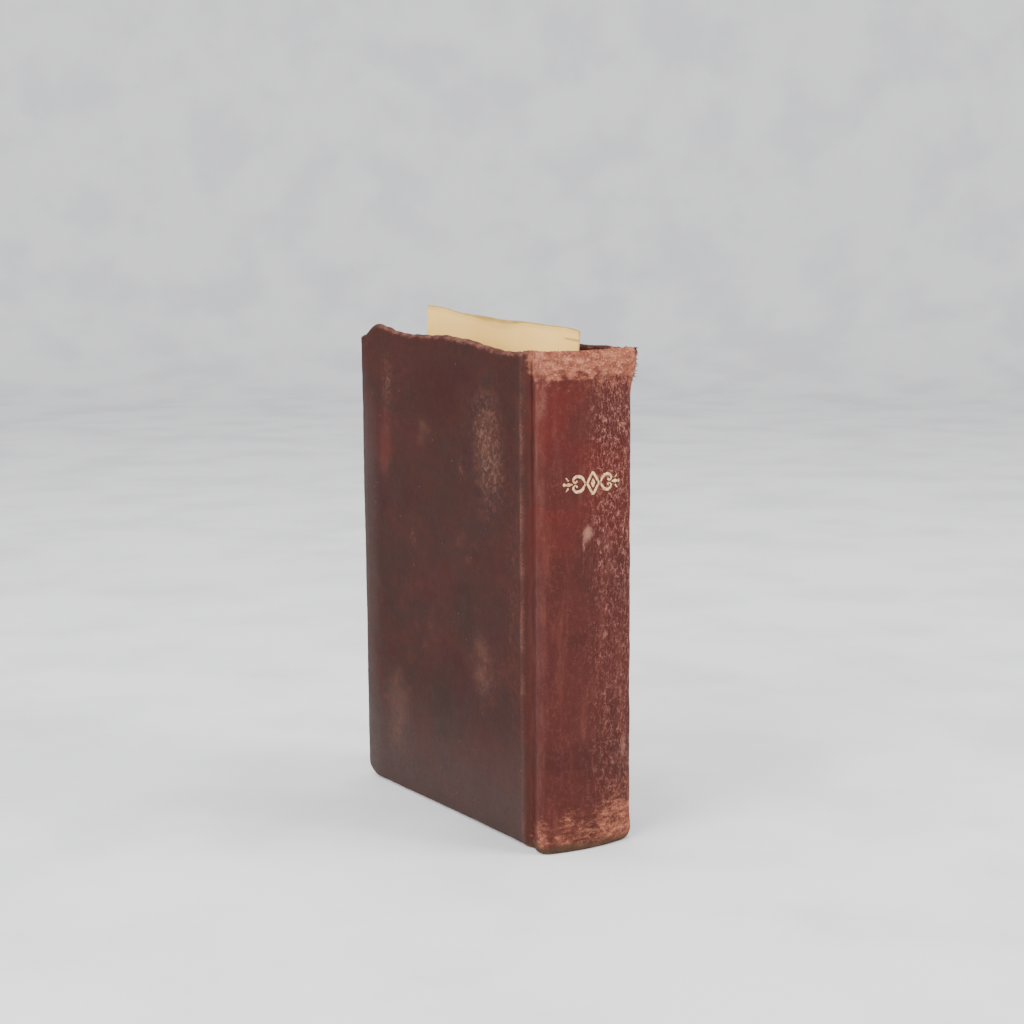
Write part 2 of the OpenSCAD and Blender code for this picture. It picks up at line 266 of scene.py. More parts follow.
def leather_material():
    """Old full leather: dark and mottled on the covers, redder on the spine, tan where it is worn."""
    s = Shader("case_leather", specular=0.08)
    blotch = s.noise(24, detail=3, stretch=(1, 1, 1.5), distortion=0.5)
    mottle = s.noise(6, detail=6, roughness=0.6, stretch=(1, 1, 1.9))
    fine = s.noise(1.3, detail=6, roughness=0.65, stretch=(1, 1, 1.9))
    streak = s.noise(2.8, detail=4, stretch=(1, 1, 0.16), roughness=0.6)

    cover = s.layers(
        s.mix(s.ramp(blotch, 0.36, 0.64), "#381c18", "#301d19"),
        (s.ramp(mottle, 0.45, 0.7, 0.0, 0.5), "#432620"),
        (s.ramp(s.noise(10, detail=2), 0.5, 0.7, 0.0, 0.5), "#331819"),
        (s.patchy("olive", mottle, 0.7), "#2a1e19"),
        (s.patchy("deep", blotch, 0.8), "#331814"),
        (s.patchy("red", s.noise(1.9, detail=6, roughness=0.7), 0.6), "#502723"),
        (s.patchy("warm", mottle, 0.7), "#4f352b"),
        # Painted sheen in grey near the fore-edge, where the cover rounds away; the covers are also greyer
        # towards the foot
        (s.attribute("sheen_and_grey"), "#453a37"))
    broad = s.ramp(blotch, 0.4, 0.62)
    spine = s.layers(
        s.mix(s.attribute("high"), s.mix(broad, "#47221e", "#3f201c"), s.mix(broad, "#52211d", "#48221e")),
        (s.ramp(streak, 0.48, 0.72, 0.0, 0.6), "#5e332b"),
        (s.ramp(s.noise(9, detail=3, stretch=(1, 1, 0.5)), 0.52, 0.68, 0.0, 0.5), "#421f20"))
    base = s.mix(s.attribute("spine"), cover, spine)
    base = s.mix(s.times(s.ramp(fine, 0.5, 0.72), 0.22), base, "#2a1411")

    # The cracked side of the spine: dark cells, with painted highlights along their broken edges and on
    # light specks
    wobble = s.node("TexNoise", {"Vector": s.rest, "Scale": 1.1, "Detail": 3.0}).outputs["Color"]
    wander = s.node("VectorMath", {0: wobble, 1: (1.1, 1.1, 1.1), 2: s.place((1, 1, 0.62))},
                    operation="MULTIPLY_ADD").outputs[0]
    webs = [s.node("TexVoronoi", {"Vector": wander, "Scale": 1 / size}, feature="DISTANCE_TO_EDGE")
            for size in (1.35, 0.6)]
    coarse, fine_web = (web.outputs["Distance"] for web in webs)
    edges = s.math("MAXIMUM", s.ramp(coarse, 0.01, 0.09, 1.0, 0.0), s.ramp(fine_web, 0.01, 0.13, 0.6, 0.0))
    cracked = s.attribute("crackle_and_glints")
    patch = s.ramp(s.noise(5, detail=4, stretch=(1, 1, 0.5)), 0.34, 0.56)
    broken = s.ramp(s.noise(1.1, detail=6, roughness=0.75, stretch=(1, 1, 0.6)), 0.46, 0.62)
    specks = s.noise(0.5, detail=4, roughness=0.8, stretch=(1, 1, 0.5))
    base = s.layers(
        base,
        (s.times(cracked, patch, s.ramp(edges, 0.7, 0.1, 0.0, 0.55)), "#401411"),
        # Painted highlights on the broken edges of the cells
        (s.times(edges, broken, cracked, 0.8), "#aa7063"),
        (s.times(s.ramp(specks, 0.44, 0.36, 0.0, 0.6), cracked), "#2e0c0b"),
        # Painted highlights on light specks
        (s.times(s.ramp(specks, 0.57, 0.66, 0.0, 0.6), cracked), "#aa7063"))

    # Wear along ridges, edges and corners, broken up by the grain
    wear = s.attribute("wear")
    fibre = s.noise(1.1, detail=6, roughness=0.7, stretch=(0.45, 0.45, 1))
    worn = s.math("ADD", wear, s.math("MULTIPLY_ADD", fibre, 1.3, -0.72))
    worn = s.times(s.ramp(worn, 0.1, 0.75), s.ramp(wear, 0.02, 0.22))
    torn = s.noise(0.6, detail=5, roughness=0.78)
    tan = s.layers(
        s.mix(s.ramp(fibre, 0.38, 0.66), "#744335", "#a0634c"),
        (s.ramp(s.noise(2.6, detail=5), 0.5, 0.66, 0.0, 0.6), "#6a3428"),
        (s.ramp(torn, 0.54, 0.64, 0.0, 0.8), "#c78a70"),
        (s.ramp(torn, 0.44, 0.36, 0.0, 0.7), "#5a2d22"))
    rubbed = s.mix(s.ramp(fibre, 0.4, 0.64), "#4a2d26", "#6e483d")
    ridged = s.times(s.attribute("ridge"), s.ramp(torn, 0.4, 0.6, 0.35, 1.0))
    ragged = s.ramp(s.noise(1.7, detail=7, roughness=0.74, distortion=0.8), 0.46, 0.62)
    scuffed = s.times(s.attribute("scuff"), ragged)
    # Light flecks where the surface is chipped
    flecks = s.ramp(s.cells(3.1), 0.03, 0.09, 1.0, 0.0)
    chips = s.times(flecks, s.ramp(s.noise(8, detail=2), 0.53, 0.62), 0.6)
    base = s.layers(
        base,
        (worn, s.mix(s.attribute("spine"), rubbed, tan)),
        (ridged, "#714a40"),
        (s.times(scuffed, 0.85), "#6f4b40"),
        (s.patchy("rub", s.noise(0.9, detail=6, roughness=0.7), 0.7), "#96685a"),
        # Thin pale line on the front edge of the spine: partly a painted highlight, partly wear
        (s.attribute("pale"), "#cf9480"),
        (chips, "#7d5648"),
        # Darker along the foot
        (s.attribute("dark_foot"), "#3d3226"),
        # Painted shade, nearly black, in the groove's crease and the gap beside the front leather; also
        # dark patches at the torn corner of the head
        (s.attribute("crease"), "#140908"))

    grain = s.cells(0.5, randomness=0.9)
    normal = s.bump(grain, 0.05, 0.5)
    normal = s.bump(s.noise(0.35, detail=3), 0.05, 0.3, normal)
    normal = s.bump(fine, 0.14, 0.6, normal)
    raised = s.times(s.ramp(coarse, 0.0, 0.3), cracked)
    normal = s.bump(raised, 0.16, 0.9, normal)
    normal = s.bump(s.math("ADD", s.math("ADD", worn, scuffed), ridged), 0.06, 0.6, normal)
    rough = s.math("ADD", s.ramp(mottle, 0.35, 0.65, 0.56, 0.66), s.times(worn, 0.25))
    return s.finish(base, normal, rough)


def paper_material(name, light, dark, stain, size=14, edge_lines=False, on_cad=False):
    """Aged paper: yellowed, foxed and slightly rough."""
    s = Shader(name, roughness=0.82, specular=0.15, on_cad=on_cad)
    base = s.mix(s.ramp(s.noise(size, detail=5), 0.3, 0.72), light, dark)
    where = s.ramp(s.noise(14, detail=2), 0.52, 0.66)
    spots = s.times(s.ramp(s.cells(6.5), 0.03, 0.1, 1.0, 0.0), where, 0.4)
    base = s.mix(spots, base, stain)
    aged = s.times(s.attribute("age"), s.ramp(s.noise(5, detail=6), 0.2, 0.8, 0.55, 1.0))
    base = s.mix(aged, base, stain)
    normal = s.bump(s.noise(0.5, detail=4, stretch=(1, 1, 0.35)), 0.03, 0.4)
    if edge_lines:
        leaf = s.noise(0.1, detail=2, stretch=(1, 0.02, 0.02))
        lines = s.times(s.attribute("edge"), s.ramp(leaf, 0.42, 0.66, 0.0, 0.32))
        base = s.mix(lines, base, stain)
        normal = s.bump(s.times(leaf, s.attribute("edge")), 0.08, 0.7, normal)
    return s.finish(base, normal)


def board_material():
    """Grey-brown pulp board."""
    s = Shader("pulp_board", roughness=0.9, specular=0.2)
    base = s.mix(s.noise(0.8, detail=6, roughness=0.7), "#6b5638", "#a08760")
    return s.finish(base, s.bump(s.noise(0.5, detail=6), 0.1, 0.7))


def cloth_material(name, light, dark, pitch):
    """Plain weave: two sets of threads that pass over and under each other."""
    s = Shader(name, roughness=0.9, specular=0.2, sheen=0.2, on_cad=True)
    threads = {"Vector": s.rest, "Scale": 0.32 / pitch, "Distortion": 0.6, "Detail": 1.0}
    along, across = (s.node("TexWave", threads, bands_direction=way).outputs["Fac"] for way in "ZX")
    weave = s.math("MAXIMUM", along, across)
    base = s.mix(weave, dark, light)
    base = s.mix(s.ramp(s.noise(5, detail=4), 0.4, 0.7, 0.0, 0.5), base, dark)
    return s.finish(base, s.bump(weave, 0.12, 0.8))


def thread_material():
    """Pale twisted linen thread."""
    s = Shader("waxed_thread", roughness=0.55, specular=0.35, on_cad=True)
    twist = s.node("TexWave", {"Vector": s.rest, "Scale": 1.6}, bands_direction="DIAGONAL").outputs["Fac"]
    return s.finish(s.mix(twist, "#b9a988", "#e6dcc4"), s.bump(twist, 0.05, 0.7))


def band_material():
    """Faded silk wound in two colours."""
    s = Shader("band_silk", roughness=0.6, specular=0.4, sheen=0.3)
    base = s.mix(s.attribute("second"), "#c2a271", "#8c4a34")
    base = s.mix(s.ramp(s.noise(2.5, detail=4), 0.45, 0.7, 0.0, 0.6), base, "#6c4c30")
    return s.finish(base, s.bump(s.noise(0.25, detail=3, stretch=(1, 1, 0.2)), 0.04, 0.8))


def gilt_material():
    """Gold leaf, rubbed through to the leather in places."""
    s = Shader("rubbed_gilt", roughness=0.42, specular=0.5)
    wear = s.ramp(s.noise(0.8, detail=6, roughness=0.7), 0.4, 0.56)
    base = s.mix(wear, "#9a6a48", "#eec48c")
    s.feed(s.surface, {"Metallic": s.times(wear, 0.25)})
    return s.finish(base, s.bump(wear, 0.03, 0.8), s.ramp(wear, 0, 1, 0.6, 0.38))


def fibre_material():
    """Loose fibres of torn leather."""
    s = Shader("torn_fibre", roughness=0.8, specular=0.1)
    return s.finish(s.mix(s.ramp(s.noise(1.6, detail=3), 0.4, 0.6), "#2a1310", "#7a4433"))


LEATHER = leather_material()
FIBRE = fibre_material()
PAGE = paper_material("aged_page", "#e0c48c", "#cfae72", "#96703c", size=22, edge_lines=True)
ENDPAPER = paper_material("aged_endpaper", "#d6b981", "#c4a267", "#85602f", size=26)
CARD = paper_material("aged_card", "#fdd27c", "#f4c368", "#9a7c42", size=30)
LINING = paper_material("lining_paper", "#a98a5c", "#8b6d42", "#5e4526", on_cad=True)
BOARD = board_material()
MULL = cloth_material("mull_weave", "#d8ccaa", "#83744f", 0.9)
TAPE = cloth_material("tape_weave", "#e0d5bb", "#a2916c", 0.45)
THREAD = thread_material()
SILK = band_material()
GILT = gilt_material()


# ---- Leather of the case ----

LEATHER_T = 0.42
# Radius of the turned edge on the covers, the spine and the grooves
RIM_COVER = (HALF_T - COVER_IN) / 2
RIM_SPINE = 0.95
RIM_GROOVE = 0.5
# How far the turned-in leather reaches inside, beyond that edge
FLAP_COVER = 7.8
FLAP_SPINE = 5.0
FLAP_JOINT = 1.5
# The ridge beside the groove, and the crease at the bottom of the groove
RIDGE_Y = -35.0
CREASE_Y = -38.4
# The face of a cover is flat from here to the fore-edge
FACE_START = -30.0
LOWER_CORNER_R = 5.0
UPPER_CORNER_R = 3.0
TORN_CORNER_R = 0.6
# The back cover's fore-edge leans in towards the foot by this much, the front cover's by less
FORE_EDGE_LEAN = 1.6
FRONT_LEAN = FORE_EDGE_LEAN * 0.4
# How far the worn upper corner of the back cover is bent out
DOG_EAR = 0.6


def arc_line(cx, cy, r, a0, a1, steps):
    angles = np.radians(np.linspace(a0, a1, steps + 1))
    return np.stack([cx + r * np.cos(angles), cy + r * np.sin(angles)], -1)


def curve_through(points, steps=14):
    """A smooth curve through the given points (Catmull-Rom)."""
    p = np.array([points[0], *points, points[-1]], float)
    t = np.linspace(0, 1, steps, endpoint=False)[:, None]
    parts = []
    for a, b, c, d in zip(p[:-3], p[1:-2], p[2:-1], p[3:]):
        parts.append(0.5 * (2 * b + (c - a) * t + (2 * a - 5 * b + 4 * c - d) * t ** 2
                            + (3 * b - a - 3 * c + d) * t ** 3))
    return np.vstack([*parts, p[-1:]])


def resample(line, step_at):
    """Points along a line, as far apart as step_at says for each place."""
    length = np.linalg.norm(np.diff(line, axis=0), axis=1)
    middle = (line[1:] + line[:-1]) / 2
    count = np.concatenate([[0], np.cumsum(length / step_at(middle))])
    wanted = np.linspace(0, count[-1], int(round(count[-1])) + 1)
    return np.stack([np.interp(wanted, count, line[:, i]) for i in (0, 1)], -1)


def column_step(p):
    """Fine columns on the spine and in the grooves, wider ones across a cover."""
    return 0.34 + 0.42 * smooth(-34, -28, p[:, 1])


# From the spine's shoulder into the groove, over the ridge beside it and onto the cover's face
GROOVE = [(HALF_T, SHOULDER_Y), (13.5, -41.7), (13.1, -40.6), (12.68, -39.5), (12.45, -38.5),
          (12.75, -37.3), (13.35, -36.2), (13.72, -35.2), (13.72, -34.2), (13.62, -32.6),
          (HALF_T, FACE_START)]
CASE_END = [(12.1, -41.56), (12.8, -41.45), (13.35, -41.75), (HALF_T, SHOULDER_Y)]
FRONT_START = [(12.1, -41.46), (12.7, -41.25), (12.98, -40.7), (12.72, -39.6), *GROOVE[4:]]


def spine_arc():
    """Plan lines of the front shoulder and of the spine's back."""
    start = math.degrees(math.atan2(SHOULDER_Y - SPINE_CY, SHOULDER_X))
    return (arc_line(SHOULDER_X, SHOULDER_Y, SHOULDER_R, 0, start, 10),
            arc_line(0, SPINE_CY, SPINE_R, start, -180 - start, 60))


def case_profile():
    """Plan line of the leather, from the crease beside the front cover round to the back cover."""
    shoulder, arc = spine_arc()
    mirror = np.array([-1, 1])
    face = np.array([[HALF_T, FACE_START], [HALF_T, FORE_EDGE - RIM_COVER]])
    line = np.vstack([curve_through(CASE_END)[:-1], shoulder[:-1], arc[:-1], (shoulder * mirror)[::-1][:-1],
                      curve_through(GROOVE)[:-1] * mirror, face * mirror])
    return resample(line, column_step)


def front_profile():
    """Plan line of the leather, from the crease beside the spine over the front cover."""
    face = np.array([[HALF_T, FACE_START], [HALF_T, FORE_EDGE - RIM_COVER]])
    return resample(np.vstack([curve_through(FRONT_START)[:-1], face]), column_step)


def on_cover(y):
    """1 on a cover, 0 on the spine and in the groove."""
    return smooth(-37.5, -34.5, y)


def in_groove(y):
    """1 in the groove, 0 on the spine and on a cover."""
    return smooth(-42.3, -40.5, y) * smooth(-35.2, -36.8, y)


def back_top(y):
    """Upper edge of the back cover: it dips beside the spine and has a lump near the fore-edge."""
    cover = COVER_H - 0.1 - 1.95 * smooth(-6, -27, y) + 0.45 * bump(y, 2, 7)
    lump = np.where(y > 37.2, bump(y, 37.2, 3.6), bump(y, 37.2, 8.0))
    cover += 1.9 * lump + 0.25 * bump(y, 31.0, 1.6) - 1.3 * smooth(39.5, 44, y)
    cover += 0.14 * np.sin(y * 0.9) * np.sin(y * 0.37 + 1)
    return cover * on_cover(y) + SPINE_H * (1 - on_cover(y))


def front_top(y):
    """Upper edge of the front cover: a little lower beside the spine."""
    cover = COVER_H - 0.2 + 0.35 * np.sin(y / 9.0 + 0.6) - 1.2 * smooth(-8, -30, y)
    return cover * on_cover(y) + SPINE_H * (1 - on_cover(y))


def corner_round(y, z, y_edge, z_low, z_high, r_low, r_high):
    """Rounds the two fore-edge corners of a grid that fills a rectangle."""
    y, z = y.copy(), z.copy()
    for r, sign, z_edge in ((r_low, -1, z_low), (r_high, 1, z_high)):
        a = np.clip((y - (y_edge - r)) / r, 0, 1)
        b = np.clip(sign * (z - (z_edge - sign * r)) / r, 0, 1)
        inside = (a > 0) & (b > 0)
        y = np.where(inside, y_edge - r + r * a * np.sqrt(1 - b * b / 2), y)
        z = np.where(inside, z_edge - sign * r + sign * r * b * np.sqrt(1 - a * a / 2), z)
    return y, z


def leather_relief(x, y, z, top):
    """How far the skin stands out of its even shape, in millimetres."""
    points = np.stack([x, y, z], -1)
    cover = on_cover(y)
    relief = 0.16 * noise_at(points, 38, 2) * cover
    relief += (0.07 + 0.05 * (1 - cover)) * noise_at(points, 9, 3, 3.1)
    relief += 0.07 * noise_at(points, 2.6, 3, 7.7, 0.35) * (1 - cover) * (1 - in_groove(y))
    frayed = smooth(7.5, 1.0, top - z) * (1 - cover)
    relief += 0.2 * frayed * noise_at(points, 1.5, 3, 5.2)
    relief += 0.035 * noise_at(points, 1.7, 2, 9.4)
    ridge = bump(y, RIDGE_Y, 0.9) * 0.1 * noise_at(points, 5, 2, 1.7, 0.5)
    edge = np.minimum(np.minimum(z, top - z), np.where(y > 0, FORE_EDGE - y, 99))
    pillow = -0.5 * smooth(4.5, 0, edge) * cover - 0.25 * smooth(3.0, 0, edge) * (1 - cover)
    dent = -0.35 * bump(y, 4, 26) * bump(z, 62, 44) * cover
    dent -= 0.16 * bump(z - 0.35 * (y + 26), 4.6, 0.55) * bump(y, -26, 5.5) * (x < 0)
    flare = 1.5 * smooth(12, 2.5, top - z) * (1 - cover) * smooth(8.5, 13.2, x)
    flare *= smooth(-41.5, -42.4, y)
    tail = 0.3 * smooth(9, 1.0, z) * (1 - cover)
    return relief + ridge + pillow + dent + flare + tail


# Patches on the covers by kind of mark: y, z, half width, half height and strength
BACK_PATCHES = {
    "scuff": [(-19, 104, 5.5, 8, 0.75), (-21.5, 92, 5.5, 9, 0.5), (-7.5, 93, 1.6, 2.6, 0.5),
              (18, 71, 1.2, 2.4, 0.6), (30.8, 112, 2.6, 7, 0.45), (-31, 60, 2.5, 30, 0.22),
              (-18.5, 42, 5.5, 7, 0.3), (28, 17, 6, 6, 0.25)],
    "warm": [(27, 22, 7.5, 12, 0.8), (-18, 43, 8, 11, 0.6), (-19, 99, 8, 14, 0.5), (12, 101, 4, 5, 0.5),
             (14, 47, 12, 8, 0.35), (-8, 74, 16, 8, 0.25)],
    "red": [(31.5, 106, 3.6, 9, 0.55), (32.5, 93, 3.0, 7, 0.75), (28, 76, 6, 20, 0.25)],
    "deep": [(4, 112, 15, 9, 0.9), (-30, 100, 4, 30, 0.6)],
    "olive": [(0, 84, 9, 8, 0.5), (-9, 55, 8, 12, 0.7), (5, 28, 7, 11, 1.0), (24, 34, 5, 9, 0.4)],
}
FRONT_PATCHES = {
    "scuff": [(12, 60, 7, 12, 0.35), (-22, 24, 6, 8, 0.4), (34, 110, 6, 6, 0.45), (2, 98, 3, 5, 0.3)],
    "warm": [(18, 96, 12, 9, 0.6), (-14, 30, 10, 13, 0.6), (34, 24, 7, 14, 0.6)],
    "red": [(-10, 84, 10, 22, 0.2), (30, 44, 8, 16, 0.25)],
    "deep": [(8, 40, 14, 18, 0.5), (20, 112, 14, 8, 0.5)],
    "olive": [(14, 72, 12, 10, 0.5), (-12, 52, 9, 14, 0.5), (22, 14, 9, 8, 0.4)],
}


def leather_marks(x, y, z, top, depth, back):
    """Where the leather is worn, stained, cracked or dark, as values from 0 to 1."""
    cover = on_cover(y)
    inner = smooth(0.9, 1.3, depth)
    spine = smooth(-35.6, -38.6, y)
    points = np.stack([x, y, z], -1)
    drift = 1 + 0.5 * noise_at(points, 14, 2, 2.2)
    ragged = 1.3 * noise_at(points, 4.5, 3, 6.1, 0.6)
    broken = np.clip(0.5 + 1.2 * noise_at(points, 3.2, 3, 4.4, 0.5), 0, 1.3)
    below_top = top - z + ragged + 1.6 * noise_at(points, 1.6, 3, 3.9)
    head = 0.56 * smooth(8.5, 2.6, below_top) + 0.33 * smooth(4.4, 1.6, below_top)
    # The last term lightens the cracked grain right of the middle below the head: a painted highlight, laid
    # on as wear
    head += 0.22 * smooth(13, 5.5, below_top) + 0.2 * smooth(17, 6, below_top) * smooth(1, 9, x)
    head = spine * (head + 0.15 * smooth(10, 5.0, below_top) * smooth(6, -9, x))
    above_tail = z + 3 * ragged
    tail = 0.3 * smooth(14, 3, above_tail) + 0.25 * smooth(26, 6, above_tail) * smooth(-4, 8, x)
    tail = spine * tail + 0.1 * spine * smooth(34, 8, z) * (1 - in_groove(y))
    wavy = top - z + 0.9 * noise_at(points, 7.0, 2, 8.3, 0.3)
    creased = 0.4 * bump(wavy, 8.8, 0.3) + 0.4 * bump(wavy, 11.4, 0.3) + 0.25 * bump(wavy, 13.5, 0.3)
    head += spine * creased * smooth(11, -8, x) * broken * (y < -42)
    ridge = 0.24 * bump(y, RIDGE_Y - 0.1, 0.35) + 0.36 * bump(y, RIDGE_Y - 0.5, 0.9)
    ridge *= np.clip(broken, 0.4, 1.2)
    shoulder = bump(x, -13.3, 0.55 + 0.9 * smooth(104, 119, z)) * (y < -41)
    shoulder *= np.clip(1.3 * broken, 0.2, 1) * smooth(2, 7, z)
    ridge += shoulder * (0.25 + 0.5 * smooth(92, 117, z))
    along_top = 0.42 + 0.36 * smooth(6, -16, y) + 0.3 * bump(y, 31, 3.5) - 0.2 * smooth(37, 42, y)
    fore_rim = smooth(FORE_EDGE - 4, FORE_EDGE - 1.5, y) * smooth(3, 9, top - z)
    rim = 0.4 * smooth(0.02, 0.3, depth) * (1 - 0.65 * fore_rim)
    rim += along_top * smooth(2.4, 0.2, top - z + 0.25 * ragged) * cover
    rim = rim * (1 if back else 0.4) + 0.15 * smooth(1.6, 0.3, z) + 0.15 * smooth(1.4, 0.2, FORE_EDGE - y)
    on_shoulder = smooth(11.2, 13.2, x) * spine * (1 - in_groove(y))
    right_edge = (0.18 + 0.14 * smooth(80, 105, z)) * on_shoulder * drift
    wear = np.clip((head + tail + rim + right_edge) * (1 - inner), 0, 1)
    rub = bump(x, -1.5, 1.25) * bump(z, 80.3, 2.1) + 0.6 * bump(x, -2.8, 0.4) * bump(z, 77.5, 2.6)
    rub += 0.5 * bump(x, 9, 3.0) * bump(z, 25, 5.0) * broken
    # Where the spine is cracked, which also carries the painted highlights on the cracks: more on the right
    # side and higher up
    right = smooth(-3.5, 5, x) * (0.36 + 0.64 * smooth(58, 92, z))
    right += 0.3 * smooth(8, 12, x) * smooth(20, 95, z)
    crackle_and_glints = spine * right * smooth(3, 14, z) * smooth(2, 9, top - z)
    crackle_and_glints = crackle_and_glints * (0.75 + 0.35 * drift) * smooth(-40.8, -42.2, y)
    crackle_and_glints += 0.1 * spine * (1 - in_groove(y))
    # Painted shade in the bottom of the groove, stronger higher up, and in the thin gap where the front
    # leather meets the spine; the torn part darkens the flared corner of the head
    crease = 0.7 * bump(y, CREASE_Y, 0.62) * (0.35 + 0.65 * smooth(60, 118, z)) * smooth(1.0, 3.5, top - z)
    crease += 0.9 * bump(y, -41.5, 0.22) * (x > 0)
    torn = smooth(13.9, 14.9, x) * smooth(9, 5, top - z)
    crease += 0.65 * torn * np.clip(2 * broken - 0.6, 0, 1)
    # Painted sheen: a grey band along the fore-edge, where the cover rounds away, half as strong on the
    # front cover. The covers are also greyer towards the foot.
    edge_sheen = 0.66 * smooth(34.5, 45, y + 0.8 * ragged) * smooth(124, 92, z + 3 * ragged)
    edge_sheen *= 1 if back else 0.5
    sheen_and_grey = cover * (edge_sheen + (0.5 if back else 0.25) * smooth(38, 4, z))
    # A thin pale line along the spine's front edge: partly a painted highlight where light grazes the edge,
    # partly wear
    pale = 0.5 * bump(x, 13.5, 0.12) * spine * (y < -42.3) * broken
    pale *= smooth(2, 12, z) * smooth(14, 24, top - z)
    # Darker along the foot: a band at the spine's tail and a thin line at the cover's lowest edge
    dark_foot = 0.85 * smooth(3.2, 1.2, z + 0.6 * ragged) * spine + 0.5 * smooth(0.8, 0.2, z) * cover
    outside = 1 - inner
    marks = {"wear": wear, "ridge": ridge, "rub": rub * spine * (y < -44), "crackle_and_glints": crackle_and_glints, "pale": pale,
             "crease": crease, "sheen_and_grey": sheen_and_grey, "dark_foot": dark_foot}
    for key, places in (BACK_PATCHES if back else FRONT_PATCHES).items():
        total = sum(strength * bump(y, py, wy) * bump(z, pz, wz) for py, pz, wy, wz, strength in places)
        marks[key] = total * cover * drift
    marks = {key: np.clip(value, 0, 1) * outside for key, value in marks.items()}
    return {**marks, "spine": np.clip(spine, 0, 1), "high": smooth(62, 92, z)}


def leather_piece(name, profile, top_of, outward, lean, back):
    """One skin of leather: its outer face, the rounded edges and the part turned in, then its thickness."""
    x0, y0 = profile[:, 0], profile[:, 1]
    tangent = np.gradient(profile, axis=0)
    tangent /= np.linalg.norm(tangent, axis=1)[:, None]
    normal = outward * np.stack([-tangent[:, 1], tangent[:, 0]], -1)
    cover = on_cover(y0)
    rim_inside = RIM_SPINE - (RIM_SPINE - RIM_GROOVE) * in_groove(y0)
    rim = RIM_COVER * cover + rim_inside * (1 - cover)
    top = top_of(y0)
    rows = 190
    share = np.linspace(0, 1, rows)[:, None]
    # The spine's foot is worn round at its front corner
    foot = 2.6 * smooth(9.5, 14.2, np.abs(x0)) ** 2 * smooth(-41.4, -42.2, y0) * (x0 > 0)
    z = (rim + foot)[None] + share * (top - 2 * rim - foot)[None]
    y = np.broadcast_to(y0, z.shape)
    y_edge = FORE_EDGE - RIM_COVER

    def shape(y_flat, z_flat, columns, low, high, radii):
        """Places points of the flat pattern on the book, before any relief."""
        yy, zz = corner_round(y_flat, z_flat, radii[2], low, high, radii[0], radii[1])
        yy -= lean * (1 - zz / COVER_H) * smooth(FACE_START, FORE_EDGE, yy)
        yy += DOG_EAR * bump(zz, COVER_H - 2.2, 0.9) * smooth(38, FORE_EDGE, yy) * back
        return np.stack([np.broadcast_to(x0[columns], yy.shape), yy, zz], -1)

    all_columns = np.arange(len(x0))
    upper_r = TORN_CORNER_R if back else UPPER_CORNER_R - RIM_COVER
    base = shape(y, z, all_columns, rim[None], (top - rim)[None],
                 (LOWER_CORNER_R - RIM_COVER, upper_r, y_edge))
    n3 = np.concatenate([normal, np.zeros((len(normal), 1))], 1)
    relief = leather_relief(base[..., 0], base[..., 1], base[..., 2], np.broadcast_to(top, z.shape))
    outer = base + relief[..., None] * n3[None]

    # The border, from the crease along the tail, up the fore-edge and back along the head
    last = len(x0) - 1
    ring_i = np.concatenate([np.zeros(last + 1), np.arange(1, rows), np.full(last, rows - 1)])
    ring_j = np.concatenate([np.arange(last + 1), np.full(rows - 1, last), np.arange(last - 1, -1, -1)])
    ring_i, ring_j = ring_i.astype(int), ring_j.astype(int)
    border = outer[ring_i, ring_j]
    n_ring = n3[ring_j]
    along = np.gradient(border, axis=0)
    out = np.cross(along, n_ring)
    out /= np.linalg.norm(out, axis=1)[:, None]
    out *= np.sign(out[0] @ np.array([0, 0, -1.0]))
    flat_rim = rim[ring_j]
    rim_ring = flat_rim + relief[ring_i, ring_j] / 2
    layers, depths = [], []
    for angle in np.linspace(0, math.pi, 9)[1:]:
        reach = np.minimum(rim_ring, flat_rim)[:, None] * math.sin(angle) * out
        layers.append(border + reach - rim_ring[:, None] * (1 - math.cos(angle)) * n_ring)
        depths.append(np.full(len(border), angle / math.pi))
    in_joint = smooth(-43.0, -41.8, y0) * smooth(-35.2, -36.8, y0)
    flap_inside = FLAP_SPINE + in_joint * (FLAP_JOINT - FLAP_SPINE)
    flap = FLAP_COVER * cover + flap_inside * (1 - cover)
    inset_y = np.where(cover > 0, y0 - flap * cover * (y0 - RIDGE_Y) / (y_edge - RIDGE_Y), y0)[ring_j]
    z_ring = z[ring_i, ring_j]
    height = (top - 2 * rim)[ring_j]
    flap_ring = flap[ring_j]
    inset_z = flat_rim + flap_ring + (z_ring - flat_rim) * (height - 2 * flap_ring) / height
    inner = shape(inset_y, inset_z, ring_j, (flat_rim + flap_ring), (flat_rim + height - flap_ring),
                  (0.8, 0.8, y_edge - FLAP_COVER))
    inner -= 2 * flat_rim[:, None] * n_ring
    folded = layers[-1]
    for k in range(1, 7):
        t = k / 6
        layers.append(folded * (1 - t) + inner * t)
        depths.append(np.full(len(border), 1 + t))

    vertices = np.vstack([outer.reshape(-1, 3), *layers])
    depth = np.concatenate([np.zeros(z.size), *depths])
    ring = np.arange(z.size).reshape(z.shape)[ring_i, ring_j]
    faces = [grid_faces(*z.shape, flip=outward > 0)]
    for k in range(len(layers)):
        new = z.size + k * len(ring) + np.arange(len(ring))
        quads = np.stack([ring[:-1], ring[1:], new[1:], new[:-1]], -1)
        faces.append(quads[:, ::-1] if outward < 0 else quads)
        ring = new
    tops = np.concatenate([np.broadcast_to(top, z.shape).ravel(), np.tile(top[ring_j], len(layers))])
    marks = leather_marks(vertices[:, 0], vertices[:, 1], vertices[:, 2], tops, depth, back)
    obj = put(name, vertices, np.vstack(faces), LEATHER, marks)
    return thicken(obj, LEATHER_T)


def bend_at_hinge(obj):
    """Bakes the piece's place into its mesh; nothing is bent here."""
    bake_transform(obj)


